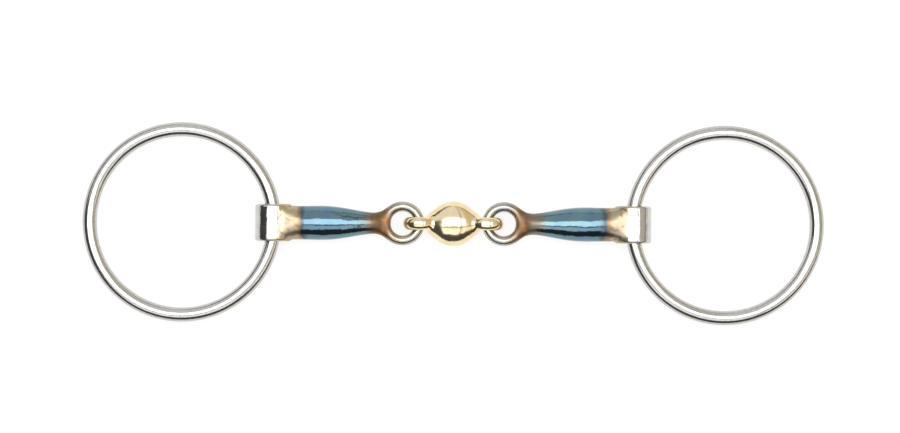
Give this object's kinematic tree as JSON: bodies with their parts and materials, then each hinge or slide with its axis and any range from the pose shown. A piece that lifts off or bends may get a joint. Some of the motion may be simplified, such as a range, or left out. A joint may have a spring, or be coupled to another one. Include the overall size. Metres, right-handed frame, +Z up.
{
  "type": "snaffle bit",
  "caption": "Double-jointed loose-ring snaffle bit: bored arms linked by an olive-shaped centre link, with a round wire ring through each butt.",
  "frame": {"origin": "middle of the centre link, which is the middle of the whole bit lying flat", "axes": "+X to the right along the mouthpiece, +Y across the mouthpiece in the plane of the rings, +Z up from the table the bit lies on"},
  "size_m": [0.2604, 0.07, 0.0126],
  "materials": {
    "polished_ring": "mirror-polished stainless steel",
    "blued_iron": "polished sweet iron, heat-blued body with straw and bare ends",
    "brass_link": "polished pale brass alloy"
  },
  "bodies": {
    "lozenge": {"lozenge": "brass_link"},
    "left_arm": {"left_arm": "blued_iron"},
    "right_arm": {"right_arm": "blued_iron"},
    "left_ring": {"left_ring": "polished_ring"},
    "right_ring": {"right_ring": "polished_ring"}
  },
  "joints": [
    {"name": "left_arm_fold", "type": "hinge", "parent": "lozenge", "child": "left_arm", "pos_m": [-0.0118, 0, 0], "axis": [0, 1, 0], "range_deg": [-90, 90]},
    {"name": "right_arm_fold", "type": "hinge", "parent": "lozenge", "child": "right_arm", "pos_m": [0.0118, 0, 0], "axis": [0, -1, 0], "range_deg": [-90, 90]},
    {"name": "left_ring_swing", "type": "hinge", "parent": "left_arm", "child": "left_ring", "pos_m": [-0.0631, 0, 0], "axis": [0, 1, 0], "range_deg": [-168.6, 175.3]},
    {"name": "right_ring_swing", "type": "hinge", "parent": "right_arm", "child": "right_ring", "pos_m": [0.0631, 0, 0], "axis": [0, -1, 0], "range_deg": [-168.6, 175.3]}
  ]
}
